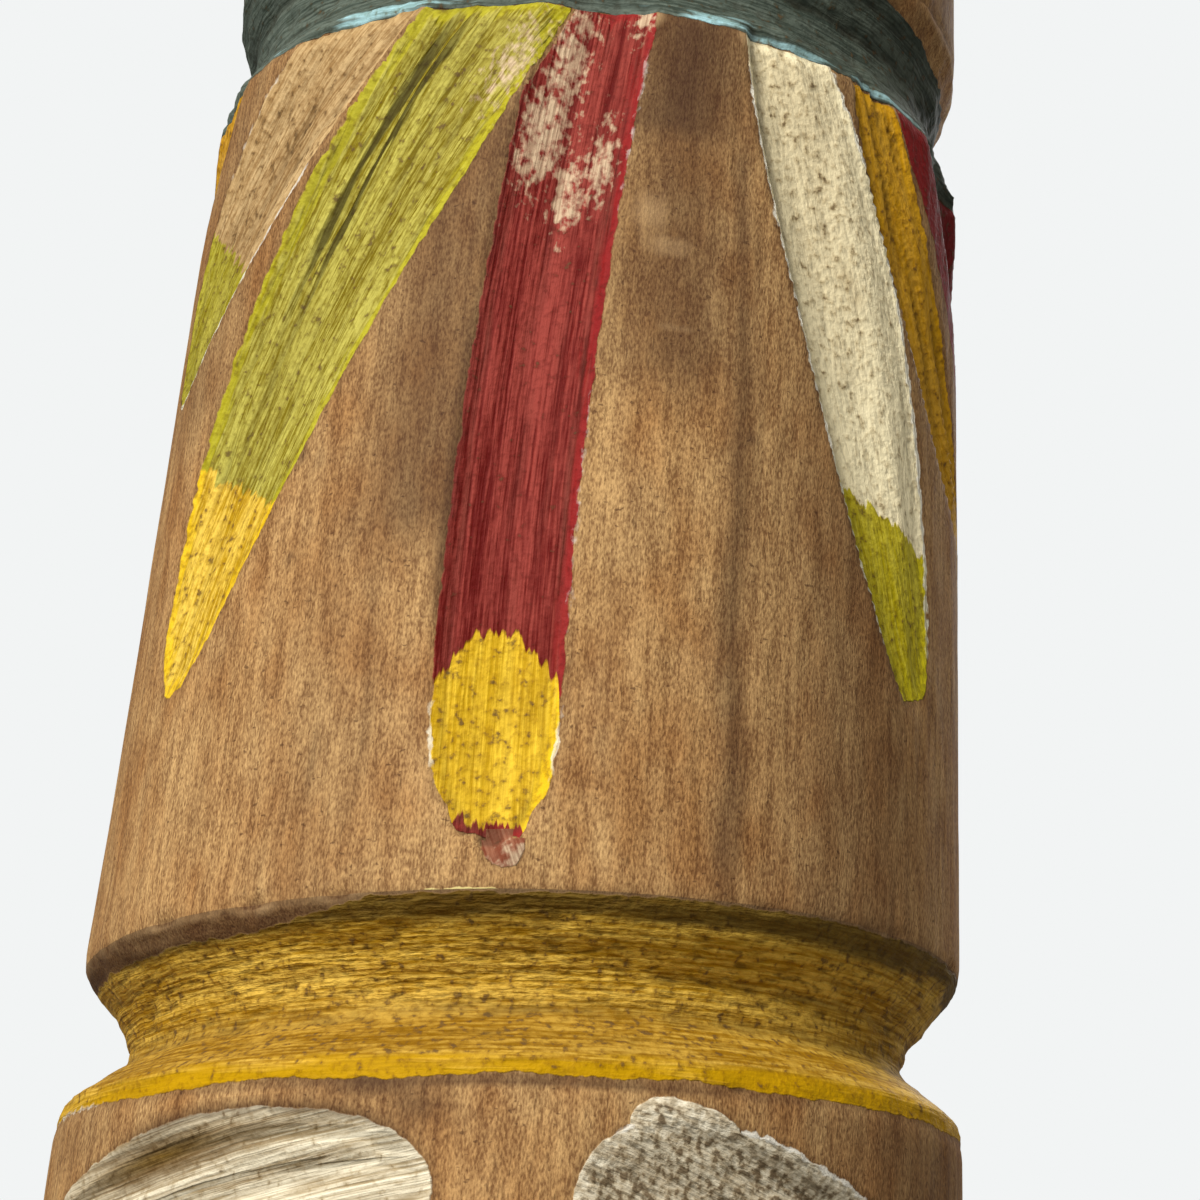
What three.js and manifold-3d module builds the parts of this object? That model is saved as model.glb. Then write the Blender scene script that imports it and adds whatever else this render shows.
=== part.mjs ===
// A small carved and painted souvenir totem pole: one length of hardwood, turned into drums with
// coves between them, then carved with gouge strokes that make feathers, eyes, beak, nose and mouths.
// Millimetres, +Z up. The carved front faces -Y and the origin is the centre of the underside.
import * as THREE from "three";
import { mergeVertices } from "three/addons/utils/BufferGeometryUtils.js";
import Module from "manifold-3d";

// Turned drums from the foot up: the heights of their edges and the radii there
const FOOT = { bottom: 0, top: 24, bottomRadius: 40, topRadius: 39.4 };
const FACE = { bottom: 37, top: 112.9, bottomRadius: 37.4, topRadius: 35.6 };
const PLUMAGE = { bottom: 126, top: 198, bottomRadius: 35, topRadius: 33 };
const HEAD = { bottom: 211, top: 278, bottomRadius: 32.4, topRadius: 31 };
const CROWN = { bottom: 282, top: 300, radius: 30.4 };

// Coves between the drums: the neck's radius, its height as a share of the cove, and how hollow
// the flare is below and above the neck (a larger power runs out more gently to the edge)
const FOOT_COVE = { neckRadius: 33, neckShare: 0.45, lowerPower: 2, upperPower: 1.3 };
const YELLOW_COVE = { neckRadius: 30.6, neckShare: 0.44, lowerPower: 2.6, upperPower: 1.25 };
const BLUE_COVE = { neckRadius: 30.3, neckShare: 0.41, lowerPower: 1.3, upperPower: 1.7 };
const COVE_STEPS = 8;
const CROWN_GROOVE_DEPTH = 1.6;
const CROWN_STEPS = 6;
const FOOT_CHAMFER = 0.8;
const TURNED_SIDES = 56;

// The turning leans a little, as hand work does: degrees up towards +X at some heights
const LEAN = [
  { height: FACE.bottom, degrees: 0 },
  { height: FACE.top, degrees: 2 },
  { height: PLUMAGE.bottom, degrees: 2.4 },
  { height: PLUMAGE.top, degrees: -0.7 },
  { height: HEAD.bottom, degrees: -0.7 },
  { height: HEAD.top, degrees: 0 },
];

// Gouge strokes: each has its two ends as [degrees round from the front, height], a sideways bow at
// the middle, a half width and a depth, the share of its length where it is deepest, and a power that
// tells how square its ends are (2 makes a pointed oval, more a bar with round ends)
const LIP = PLUMAGE.bottom;
const RIM = PLUMAGE.top;
const SOFT_END = 2.1;
const BAR_END = 14;
const MIDDLE = 0.5;

// The front fan of feathers, from the viewer's left to the right
const FRONT_FEATHERS = [
  { from: -72, to: -101, tip: 47, bow: -0.6, halfWidth: 5.4, depth: 1.0, deepest: 0.35, power: SOFT_END },
  { from: -35, to: -71.5, tip: 44.4, bow: -1.6, halfWidth: 5.8, depth: 1.1, deepest: 0.38, power: SOFT_END },
  { from: -13, to: -57, tip: 16.8, bow: -2.3, halfWidth: 7.1, depth: 1.5, deepest: 0.4, power: SOFT_END },
  { from: 1, to: -4.4, tip: 2.6, bow: -1.6, halfWidth: 4.7, depth: 1.4, deepest: 0.22, power: BAR_END },
  { from: 27.7, to: 57.3, tip: 19.7, bow: 1.0, halfWidth: 6.2, depth: 1.4, deepest: 0.45, power: SOFT_END },
  { from: 44, to: 80, tip: 38, bow: -2.0, halfWidth: 3.9, depth: 1.0, deepest: 0.45, power: SOFT_END },
  { from: 70, to: 97, tip: 44, bow: 0.6, halfWidth: 6.0, depth: 1.9, deepest: 0.2, power: SOFT_END },
];

// Plainer feathers hang straight down round the back
const BACK_ANGLES = [-152, -124, 124, 152, 180];
const BACK_FEATHER = { tip: 38, bow: 0, halfWidth: 5.4, depth: 1.1, deepest: 0.35, power: SOFT_END };

const LOWER_EYES = [
  { from: [-8, LIP - 20.5], to: [-74, LIP - 29], halfWidth: 8, power: 2 },
  { from: [8.5, LIP - 19.5], to: [68, LIP - 31], halfWidth: 8.2, power: 3 },
];
const LOWER_EYE_DEPTH = 2.2;

// Strokes that come in a left and right pair, given for the right
const NOSE_CUT = { drum: FACE, from: [15, 94], to: [33, 63], bow: 0, halfWidth: 8, depth: 3.6, power: 3.2 };
const NOSTRIL = { drum: FACE, from: [4, 68], to: [12, 66], bow: 0, halfWidth: 2, depth: 1.8, power: 2.4 };
const BEAK_CUT = {
  drum: HEAD, from: [31, 252], to: [19, 221], bow: 0, halfWidth: 9.4, depth: 4.6, power: 4,
};
const HEAD_EYE = {
  drum: HEAD, from: [10, 256], to: [58, 265], bow: 0, halfWidth: 6.6, depth: 2, power: 2.2,
};

// Strokes across the front
const LOWER_MOUTH = {
  drum: FACE, from: [-46, 53], to: [46, 53], bow: -3, halfWidth: 6.6, depth: 3, power: 3,
};
const HEAD_MOUTH = {
  drum: HEAD, from: [-42, 220], to: [42, 220], bow: -3, halfWidth: 2.8, depth: 2, power: 2.4,
};

// How finely a stroke is cut, how far its cutter runs past the stroke, and its narrowest share of width
const STEPS_ALONG = 11;
const STEPS_ACROSS = 6;
const OVERRUN = 0.05;
const SIDE_OVERRUN = 1.14;
const NARROWEST = 0.09;
const CUTTER_CLEARANCE = 2;
const RIM_OVERRUN = 4;

const wasm = await Module();
wasm.setup();

// Radius of a drum's straight taper at a height, also just past its edges
function drumRadius(drum, height) {
  return THREE.MathUtils.mapLinear(height, drum.bottom, drum.top, drum.bottomRadius, drum.topRadius);
}

// Slope of the lean at a height, straight between the listed heights and level past them
function leanSlope(height) {
  const last = LEAN[LEAN.length - 1];
  const next = LEAN.findIndex((step) => step.height > height);
  if (next <= 0) return Math.tan(THREE.MathUtils.degToRad(next === 0 ? LEAN[0].degrees : last.degrees));
  const [low, high] = [LEAN[next - 1], LEAN[next]];
  const degrees = THREE.MathUtils.mapLinear(height, low.height, high.height, low.degrees, high.degrees);
  return Math.tan(THREE.MathUtils.degToRad(degrees));
}

// The inner points of a cove between two drums: the straight line from edge to edge, hollowed to the neck
function covePoints(lower, upper, cove) {
  const points = [];
  const neckLine = THREE.MathUtils.lerp(lower.topRadius, upper.bottomRadius, cove.neckShare);
  for (let step = 1; step < COVE_STEPS; step++) {
    const share = step / COVE_STEPS;
    const below = share < cove.neckShare;
    const toNeck = below ? share / cove.neckShare : (1 - share) / (1 - cove.neckShare);
    const power = below ? cove.lowerPower : cove.upperPower;
    const hollow = Math.sin((Math.PI / 2) * toNeck) ** power * (neckLine - cove.neckRadius);
    const line = THREE.MathUtils.lerp(lower.topRadius, upper.bottomRadius, share);
    points.push(new THREE.Vector2(line - hollow, THREE.MathUtils.lerp(lower.top, upper.bottom, share)));
  }
  return points;
}

// The two edge points of a drum
function drumPoints(drum) {
  return [new THREE.Vector2(drum.bottomRadius, drum.bottom), new THREE.Vector2(drum.topRadius, drum.top)];
}

// The crown: a narrow turned groove, then a quarter ellipse up to the axis
function crownPoints() {
  const grooveHeight = (HEAD.top + CROWN.bottom) / 2;
  const points = [new THREE.Vector2(CROWN.radius - CROWN_GROOVE_DEPTH, grooveHeight)];
  for (let step = 0; step <= CROWN_STEPS; step++) {
    const turn = (step / CROWN_STEPS) * (Math.PI / 2);
    const radius = step === CROWN_STEPS ? 0 : CROWN.radius * Math.cos(turn);
    points.push(new THREE.Vector2(radius, CROWN.bottom + (CROWN.top - CROWN.bottom) * Math.sin(turn)));
  }
  return points;
}

// The pole as it leaves the lathe, with its lean
function turnedBlank() {
  const [, footEdge] = drumPoints(FOOT);
  const profile = [
    new THREE.Vector2(0, 0),
    new THREE.Vector2(FOOT.bottomRadius - FOOT_CHAMFER, 0),
    new THREE.Vector2(FOOT.bottomRadius, FOOT_CHAMFER),
    footEdge,
    ...covePoints(FOOT, FACE, FOOT_COVE),
    ...drumPoints(FACE),
    ...covePoints(FACE, PLUMAGE, YELLOW_COVE),
    ...drumPoints(PLUMAGE),
    ...covePoints(PLUMAGE, HEAD, BLUE_COVE),
    ...drumPoints(HEAD),
    ...crownPoints(),
  ];
  const blank = new THREE.LatheGeometry(profile, TURNED_SIDES);
  blank.rotateX(Math.PI / 2);
  const position = blank.getAttribute("position");
  for (let i = 0; i < position.count; i++) {
    const height = position.getZ(i);
    position.setZ(i, height + position.getX(i) * leanSlope(height));
  }
  return blank;
}

// Depth of a stroke as a share of its greatest depth, along it and at a sideways share of its half width
function strokeDepth(stroke, along, sideways) {
  const reach = Math.abs(along - stroke.deepest) / (1 - stroke.deepest);
  return 1 - reach ** stroke.power - sideways ** 2;
}

// A point off the drum, from its place along and beside a stroke and its height above the drum's surface
function strokePoint(stroke, along, beside, above) {
  const { drum, from, to, bow } = stroke;
  const girth = THREE.MathUtils.degToRad((drum.bottomRadius + drum.topRadius) / 2);
  const chord = new THREE.Vector2((to[0] - from[0]) * girth, to[1] - from[1]);
  const side = new THREE.Vector2(-chord.y, chord.x).normalize();
  const offset = beside + bow * 4 * along * (1 - along);
  const around = from[0] * girth + chord.x * along + side.x * offset;
  const height = from[1] + chord.y * along + side.y * offset;
  const angle = THREE.MathUtils.degToRad(around / girth);
  const radius = drumRadius(drum, height) + above;
  return [radius * Math.sin(angle), -radius * Math.cos(angle), height];
}

// The wood that one stroke takes away: a closed slab from the stroke's floor to well clear of the drum
function strokeCutter(stroke) {
  const positions = [];
  const index = [];
  const start = stroke.start ?? -OVERRUN;
  const half = (1 + OVERRUN - start) / 2;
  for (let i = 0; i <= STEPS_ALONG; i++) {
    const along = start + half * (1 - Math.cos((Math.PI * i) / STEPS_ALONG));
    const width = Math.sqrt(Math.max(strokeDepth(stroke, along, 0), NARROWEST));
    for (let j = 0; j <= STEPS_ACROSS; j++) {
      const sideways = width * SIDE_OVERRUN * ((2 * j) / STEPS_ACROSS - 1);
      const beside = sideways * stroke.halfWidth;
      const floor = -stroke.depth * strokeDepth(stroke, along, sideways);
      positions.push(...strokePoint(stroke, along, beside, floor));
      positions.push(...strokePoint(stroke, along, beside, stroke.depth + CUTTER_CLEARANCE));
    }
  }
  const [lastEnd, lastSide] = [STEPS_ALONG, STEPS_ACROSS];
  const at = (i, j, layer) => (i * (STEPS_ACROSS + 1) + j) * 2 + layer;
  const quad = (a, b, c, d) => index.push(a, b, c, a, c, d);
  for (let i = 0; i < STEPS_ALONG; i++) {
    for (let j = 0; j < STEPS_ACROSS; j++) {
      quad(at(i, j, 1), at(i + 1, j, 1), at(i + 1, j + 1, 1), at(i, j + 1, 1));
      quad(at(i, j, 0), at(i, j + 1, 0), at(i + 1, j + 1, 0), at(i + 1, j, 0));
    }
    quad(at(i, 0, 0), at(i + 1, 0, 0), at(i + 1, 0, 1), at(i, 0, 1));
    quad(at(i, lastSide, 1), at(i + 1, lastSide, 1), at(i + 1, lastSide, 0), at(i, lastSide, 0));
  }
  for (let j = 0; j < STEPS_ACROSS; j++) {
    quad(at(0, j, 1), at(0, j + 1, 1), at(0, j + 1, 0), at(0, j, 0));
    quad(at(lastEnd, j, 0), at(lastEnd, j + 1, 0), at(lastEnd, j + 1, 1), at(lastEnd, j, 1));
  }
  const cutter = new THREE.BufferGeometry();
  cutter.setAttribute("position", new THREE.Float32BufferAttribute(positions, 3));
  cutter.setIndex(index);
  return cutter;
}

// A feather runs down from the rim, and its cutter starts a little above the rim, over the blue cove
function featherStroke({ from, to, tip, bow, ...shape }) {
  const length = RIM - LIP - tip;
  const start = -RIM_OVERRUN / length;
  return { drum: PLUMAGE, from: [from, RIM], to: [to, LIP + tip], bow, start, ...shape };
}

// The same stroke on the other side of the face
function mirrored(stroke) {
  const flip = ([degrees, height]) => [-degrees, height];
  return { ...stroke, from: flip(stroke.from), to: flip(stroke.to), bow: -stroke.bow };
}

// All the carving
function allStrokes() {
  const backFeathers = BACK_ANGLES.map((angle) => ({ from: angle, to: angle, ...BACK_FEATHER }));
  const lowerEyes = LOWER_EYES.map((eye) => ({ drum: FACE, bow: 0, depth: LOWER_EYE_DEPTH, ...eye }));
  const pairs = [NOSE_CUT, NOSTRIL, BEAK_CUT, HEAD_EYE].flatMap((stroke) => [stroke, mirrored(stroke)]);
  const evenStrokes = [...lowerEyes, ...pairs, LOWER_MOUTH, HEAD_MOUTH];
  const faces = evenStrokes.map((stroke) => ({ deepest: MIDDLE, ...stroke }));
  return [...FRONT_FEATHERS, ...backFeathers].map(featherStroke).concat(faces);
}

// A closed geometry as a solid that can be cut
function solidOf(geometry) {
  geometry.deleteAttribute("normal");
  geometry.deleteAttribute("uv");
  const merged = mergeVertices(geometry);
  return new wasm.Manifold(
    new wasm.Mesh({
      numProp: 3,
      vertProperties: new Float32Array(merged.getAttribute("position").array),
      triVerts: new Uint32Array(merged.index.array),
    }),
  );
}

// A cut solid as a geometry again
function geometryOf(solid) {
  const { vertProperties, triVerts } = solid.getMesh();
  const geometry = new THREE.BufferGeometry();
  geometry.setAttribute("position", new THREE.BufferAttribute(vertProperties, 3));
  geometry.setIndex(new THREE.BufferAttribute(triVerts, 1));
  geometry.computeVertexNormals();
  return geometry;
}

// The finished pole: the turned blank with every stroke cut out of it
function totemPole() {
  const cut = (wood, stroke) => wood.subtract(solidOf(strokeCutter(stroke)));
  const carved = allStrokes().reduce(cut, solidOf(turnedBlank()));
  const stainedWood = new THREE.MeshStandardMaterial({ color: 0x875f3e, roughness: 0.62, metalness: 0 });
  const pole = new THREE.Mesh(geometryOf(carved), stainedWood);
  pole.name = "totem_pole";
  return pole;
}

const part = new THREE.Group();
part.add(totemPole());

export default part;
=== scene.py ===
# %% [markdown]
# # A small carved and painted totem pole
# The real thing is a souvenir: one length of hardwood, turned into drums with coves between them, cut by
# hand with a gouge, stained brown and painted with a brush. Years of handling have worn and soiled it.
# The solid that is loaded here has the turned form and every gouge stroke. This lesson gives it the surface:
# tool marks, chipped edges, brushed paint, bare grain, dirt and some painted shade.

# %% Load the solid
import math

import bpy
import numpy as np
from mathutils import Matrix, Vector


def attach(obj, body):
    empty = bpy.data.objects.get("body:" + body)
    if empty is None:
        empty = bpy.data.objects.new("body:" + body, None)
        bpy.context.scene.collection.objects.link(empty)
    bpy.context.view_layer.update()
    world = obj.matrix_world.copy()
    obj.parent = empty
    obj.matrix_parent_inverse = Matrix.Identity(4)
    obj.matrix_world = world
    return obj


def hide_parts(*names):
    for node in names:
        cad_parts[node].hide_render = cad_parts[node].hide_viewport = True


MM = 0.001
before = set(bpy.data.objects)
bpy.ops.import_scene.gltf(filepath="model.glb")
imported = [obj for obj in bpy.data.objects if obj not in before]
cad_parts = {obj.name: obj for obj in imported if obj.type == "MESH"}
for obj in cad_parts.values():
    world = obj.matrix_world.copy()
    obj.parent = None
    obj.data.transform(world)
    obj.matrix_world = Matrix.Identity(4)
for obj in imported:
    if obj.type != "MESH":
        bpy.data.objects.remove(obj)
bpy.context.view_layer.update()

# %% [markdown]
# ## The camera
# The photograph is a close view of the middle of the pole, taken from a little below, with the camera
# tipped by four degrees. A camera could be turned by eye until the edges agree. Here its place and three
# turns are plain numbers that were worked out from the edges of the coves, so that they can be checked.

# %% Camera
IMAGE_WIDTH = 1200
FOCAL_LENGTH = 2762
SENSOR_WIDTH = 36.0
NEAREST_SEEN = 10
CAMERA_PLACE = Vector((4.27, -222.3, 81.3))
PITCH, ROLL, YAW = 19.47, -4.21, 0.11


def turn(amount, axis):
    """A turn by some degrees about one axis, as a 3 by 3 matrix."""
    return Matrix.Rotation(math.radians(amount), 3, axis)


camera = bpy.data.objects.new("camera", bpy.data.cameras.new("camera"))
bpy.context.collection.objects.link(camera)
camera.data.sensor_width = SENSOR_WIDTH
camera.data.lens = SENSOR_WIDTH * FOCAL_LENGTH / IMAGE_WIDTH
camera.data.clip_start = NEAREST_SEEN * MM
# A new camera looks straight down, so the last turn in the row lifts it first.
facing = turn(YAW, "Z") @ turn(PITCH, "X") @ turn(ROLL, "Y") @ turn(90, "X")
camera.matrix_world = Matrix.Translation(CAMERA_PLACE * MM) @ facing.to_4x4()
bpy.context.scene.camera = camera
print("camera lens, mm:", round(camera.data.lens, 1))

# %% [markdown]
# ## Two helpers for nodes and colours
# Every material and the studio's light are node trees. One function adds a node, with its inputs by name or
# in order, and one turns the colour that a picture shows into the linear numbers that a shader works with.

# %% Node and colour helpers


def add_node(tree, kind, inputs=(), output=0, **settings):
    """Adds a node, sets its properties, links inputs that are sockets, sets the rest. Gives one output."""
    node = tree.nodes.new("ShaderNode" + kind)
    for name, value in settings.items():
        setattr(node, name, value)
    named_inputs = inputs if isinstance(inputs, dict) else dict(enumerate(inputs))
    for name, value in named_inputs.items():
        if isinstance(value, bpy.types.NodeSocket):
            tree.links.new(value, node.inputs[name])
        else:
            node.inputs[name].default_value = value
    return node.outputs[output] if node.outputs else None


def linear(hex_colour):
    """An sRGB hex colour as linear red, green, blue and alpha: a straight foot, then a power of 2.4."""
    shown = np.array([int(hex_colour[place:place + 2], 16) for place in (1, 3, 5)]) / 255
    light = np.where(shown <= 0.04045, shown / 12.92, ((shown + 0.055) / 1.055) ** 2.4)
    return (*light.tolist(), 1.0)


print("mid grey is", round(linear("#808080")[0], 3), "in linear light")

# %% [markdown]
# ## Soft studio light
# A large soft light stands high on the viewer's left, and the pale room gives the rest, more from above than
# from below, so the right third of the pole and everything that faces down fall into shade. The room looks
# white to the camera but lights the pole less: two background strengths do that without any walls. The paper
# floor takes shadows but throws no light back up, because that would fill the shade under the lip, and it
# glows a little, so that it stays pale far away.

# %% Room
ROOM_COLOUR = "#F2F4F4"
ROOM_LIGHT = "#FFFDF8"
LIGHT_FROM_ABOVE, LIGHT_FROM_BELOW = 0.48, 0.18

scene = bpy.context.scene
scene.view_settings.view_transform = "Standard"
scene.world = bpy.data.worlds.new("pale_room")
scene.world.use_nodes = True
room = scene.world.node_tree
room.nodes.clear()
seen = add_node(room, "Background", {"Color": linear(ROOM_COLOUR), "Strength": 1.0})
direction = add_node(room, "TexCoord", output="Generated")
upward = add_node(room, "SeparateXYZ", [direction], "Z")
glow = add_node(room, "MapRange", [upward, -1, 1, LIGHT_FROM_BELOW, LIGHT_FROM_ABOVE])
lighting = add_node(room, "Background", {"Color": linear(ROOM_LIGHT), "Strength": glow})
to_camera = add_node(room, "LightPath", output="Is Camera Ray")
both = add_node(room, "MixShader", [to_camera, lighting, seen])
add_node(room, "OutputWorld", {"Surface": both})
print("room nodes:", len(room.nodes))

# %% Lamps
POLE_MIDDLE = Vector((0, 0, 0.16))


def soft_light(name, azimuth, elevation, distance, size, watts):
    """A square light that faces the pole's middle from a sphere round it. Azimuth is from front to right."""
    lamp = bpy.data.lights.new(name, "AREA")
    lamp.energy = watts
    lamp.size = size
    light = bpy.data.objects.new(name, lamp)
    bpy.context.collection.objects.link(light)
    around, up = math.radians(azimuth), math.radians(elevation)
    away = Vector((math.sin(around) * math.cos(up), -math.cos(around) * math.cos(up), math.sin(up)))
    light.location = POLE_MIDDLE + distance * away
    light.rotation_euler = away.to_track_quat("Z", "Y").to_euler()


soft_light("key_light", azimuth=-29, elevation=31, distance=0.9, size=0.36, watts=10.2)
soft_light("back_light", azimuth=165, elevation=35, distance=1.2, size=0.8, watts=9.0)
print("lights:", len(bpy.data.lights))

# %% Floor
FLOOR_SIZE = 6.0
FLOOR_COLOUR = linear("#B4B4B2")
PAPER = {"Base Color": FLOOR_COLOUR, "Roughness": 0.9}
GLOW = {"Emission Color": FLOOR_COLOUR, "Emission Strength": 1.1}

floor_corners = FLOOR_SIZE / 2 * np.array([(-1, -1, 0), (1, -1, 0), (1, 1, 0), (-1, 1, 0)])
floor_mesh = bpy.data.meshes.new("floor")
floor_mesh.from_pydata(floor_corners.tolist(), [], [(0, 1, 2, 3)])
floor = bpy.data.objects.new("floor", floor_mesh)
bpy.context.collection.objects.link(floor)
paper = bpy.data.materials.new("matt_paper")
paper.use_nodes = True
for name, setting in {**PAPER, **GLOW}.items():
    paper.node_tree.nodes["Principled BSDF"].inputs[name].default_value = setting
floor_mesh.materials.append(paper)
floor.visible_diffuse = False
floor.visible_glossy = False
print("floor, m:", FLOOR_SIZE)

# %% [markdown]
# ## The turned blank
# A lathe gives a radius for every height: straight tapers for the drums, hollow curves for the coves, a
# groove and a dome at the top. The turner's work leans a little, so the lip and the rims aren't quite level.
# The sizes are the solid's own, in millimetres, but for the lean, which is about a degree stronger here.

# %% Turned sizes
FOOT = dict(bottom=0, top=24, bottom_radius=40, top_radius=39.4)
FACE = dict(bottom=37, top=112.9, bottom_radius=37.4, top_radius=35.6)
PLUMAGE = dict(bottom=126, top=198, bottom_radius=35, top_radius=33)
HEAD = dict(bottom=211, top=278, bottom_radius=32.4, top_radius=31)
CROWN = dict(bottom=282, top=300, radius=30.4)
LIP, RIM = PLUMAGE["bottom"], PLUMAGE["top"]
FOOT_COVE = dict(neck_radius=33, neck_share=0.45, lower_power=2, upper_power=1.3)
YELLOW_COVE = dict(neck_radius=30.6, neck_share=0.44, lower_power=2.6, upper_power=1.25)
BLUE_COVE = dict(neck_radius=30.3, neck_share=0.41, lower_power=1.3, upper_power=1.7)
GROOVE_DEPTH = 1.6
FOOT_CHAMFER = 0.8
LEAN_HEIGHTS = [FACE["bottom"], FACE["top"], LIP, RIM, HEAD["bottom"], HEAD["top"]]
LEAN_DEGREES = [0, 3.0, 3.5, -1.5, -1.0, 0]
print("pole height, mm:", CROWN["top"])

# %% Profile of the blank


def drum_radius(drum, height):
    """A straight taper: the radius changes evenly with height from edge to edge, and goes on past both."""
    share = (height - drum["bottom"]) / (drum["top"] - drum["bottom"])
    return drum["bottom_radius"] + share * (drum["top_radius"] - drum["bottom_radius"])


def cove_radius(lower, upper, cove, height):
    """The straight line from edge to edge, less a sine raised to a power that is deepest at the neck."""
    share = np.clip((height - lower["top"]) / (upper["bottom"] - lower["top"]), 0, 1)
    span = upper["bottom_radius"] - lower["top_radius"]
    below = share < cove["neck_share"]
    to_neck = np.where(below, share / cove["neck_share"], (1 - share) / (1 - cove["neck_share"]))
    power = np.where(below, cove["lower_power"], cove["upper_power"])
    neck_depth = lower["top_radius"] + span * cove["neck_share"] - cove["neck_radius"]
    return lower["top_radius"] + span * share - neck_depth * np.sin(np.pi / 2 * to_neck) ** power


def crown_radius(height):
    """A groove of two straight slopes, then a quarter ellipse that reaches the axis at the top."""
    groove_heights = [HEAD["top"], (HEAD["top"] + CROWN["bottom"]) / 2, CROWN["bottom"]]
    groove_radii = [HEAD["top_radius"], CROWN["radius"] - GROOVE_DEPTH, CROWN["radius"]]
    rise = np.clip((height - CROWN["bottom"]) / (CROWN["top"] - CROWN["bottom"]), 0, 1)
    dome = CROWN["radius"] * np.sqrt(1 - rise ** 2)
    return np.where(height < CROWN["bottom"], np.interp(height, groove_heights, groove_radii), dome)


def turned_radius(height):
    """The lathe's profile: at each height, the curve of the drum, cove or crown that the height falls in."""
    curves = {
        FOOT["top"]: np.minimum(drum_radius(FOOT, height), FOOT["bottom_radius"] - FOOT_CHAMFER + height),
        FACE["bottom"]: cove_radius(FOOT, FACE, FOOT_COVE, height),
        FACE["top"]: drum_radius(FACE, height),
        LIP: cove_radius(FACE, PLUMAGE, YELLOW_COVE, height),
        RIM: drum_radius(PLUMAGE, height),
        HEAD["bottom"]: cove_radius(PLUMAGE, HEAD, BLUE_COVE, height),
        HEAD["top"]: drum_radius(HEAD, height),
    }
    return np.select([height <= top for top in curves], list(curves.values()), crown_radius(height))


print("radius at the lip and the rim, mm:", turned_radius(np.array([LIP, RIM])).round(2))

# %% [markdown]
# ## A grid over the surface
# The whole skin is one function of the angle round the pole and the height up the profile. Rows stand closer
# where the photograph looks and where edges are sharp, and columns stand closer at the front. A subdivision
# modifier could make a finer mesh, but then the strokes would be cut into a coarse mesh first. Each zone of
# rows has its top and its greatest step.

# %% Rows and columns
LIP_ROW = 0.06
EYE_TOPS = 98
NEAR_EDGE = 2
HEAD_SEEN = 3
ROW_ZONES = [
    (FOOT_CHAMFER, 0.4), (FOOT["top"], 3.0), (FACE["bottom"], 1.0), (EYE_TOPS, 1.6), (FACE["top"], 0.5),
    (LIP - LIP_ROW, 0.37), (LIP, LIP_ROW), (LIP + NEAR_EDGE, 0.4), (RIM - NEAR_EDGE, 0.8), (RIM, 0.4),
    (HEAD["bottom"], 0.42), (HEAD["bottom"] + HEAD_SEEN, 0.6), (HEAD["top"], 1.7), (CROWN["bottom"], 0.6),
]
CROWN_ROWS = 14
FRONT_HALF = 97
FRONT_STEP = 0.8
BACK_STEP = 2.45

row_parts = []
zone_bottom = 0
for zone_top, step in ROW_ZONES:
    zone_rows = math.ceil((zone_top - zone_bottom) / step)
    row_parts.append(np.linspace(zone_bottom, zone_top, zone_rows, endpoint=False))
    zone_bottom = zone_top
dome_turn = np.linspace(0, np.pi / 2, CROWN_ROWS, endpoint=False)
row_parts.append(CROWN["bottom"] + (CROWN["top"] - CROWN["bottom"]) * np.sin(dome_turn))
rows = np.concatenate(row_parts)
front_count = round(2 * FRONT_HALF / FRONT_STEP)
back_count = round((360 - 2 * FRONT_HALF) / BACK_STEP)
front_columns = np.linspace(-FRONT_HALF, FRONT_HALF, front_count, endpoint=False)
back_columns = np.linspace(FRONT_HALF, 360 - FRONT_HALF, back_count, endpoint=False)
columns = np.concatenate([front_columns, back_columns])
print("rows and columns:", len(rows), len(columns))

# %% Points of the blank
level, degrees = np.meshgrid(rows, columns, indexing="ij")
angle = np.radians(degrees)
to_right = np.sin(angle)
blank_radius = turned_radius(level)
lean = np.tan(np.radians(np.interp(level, LEAN_HEIGHTS, LEAN_DEGREES)))
height = level + blank_radius * to_right * lean
blank_points = np.stack([blank_radius * to_right, -blank_radius * np.cos(angle), height], axis=-1)
print("greatest lift by the lean, mm:", (height - level).max().round(1))

# %% [markdown]
# ## The gouge strokes
# Each feather, eye, mouth and beak cut is one sweep of a gouge: two ends, a bow, a half width and a depth,
# and perhaps a tilted floor, a deeper wall or higher ridges. The other values are its paint:
# - coat and tip_coat are colours, and tip_from, oval, pupil or teeth say where the second one is;
# - spread, bare_end and gap move the paint's edge, in millimetres;
# - streak, specks, pale and rim say how streaky, specked, pale in its streaks and bright at its edge it is;
# - stretch makes brush marks longer, and rough wrinkles the paint;
# - wear and soil are spots, each a share along, millimetres beside, two sizes and a strength; the second is
#   dirt, and painted shade on some spots;
# - lines are edges, each a side, two shares along and a strength, pale above 0 and dark below with dirt and
#   painted shade;
# - grooves are knife lines, each a share across and two shares along.

# %% Kinds of stroke
SOFT_END = 2.1
BAR_END = 14
MIDDLE = 0.5


def feather(top, foot, above_lip, bow, half_width, depth, deepest, power=SOFT_END, **paint):
    """A stroke down from the rim: its angles at the top and the foot, and how far above the lip it ends."""
    shape = dict(bow=bow, half_width=half_width, depth=depth, deepest=deepest, power=power)
    return dict(drum=PLUMAGE, start=(top, RIM), end=(foot, LIP + above_lip), feather=True, **shape, **paint)


def stroke(drum, start, end, half_width, depth, power, bow=0, **paint):
    """A stroke that is deepest at its middle, with its ends as angles and heights."""
    shape = dict(bow=bow, half_width=half_width, depth=depth, deepest=MIDDLE, power=power)
    return dict(drum=drum, start=start, end=end, feather=False, **shape, **paint)


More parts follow.
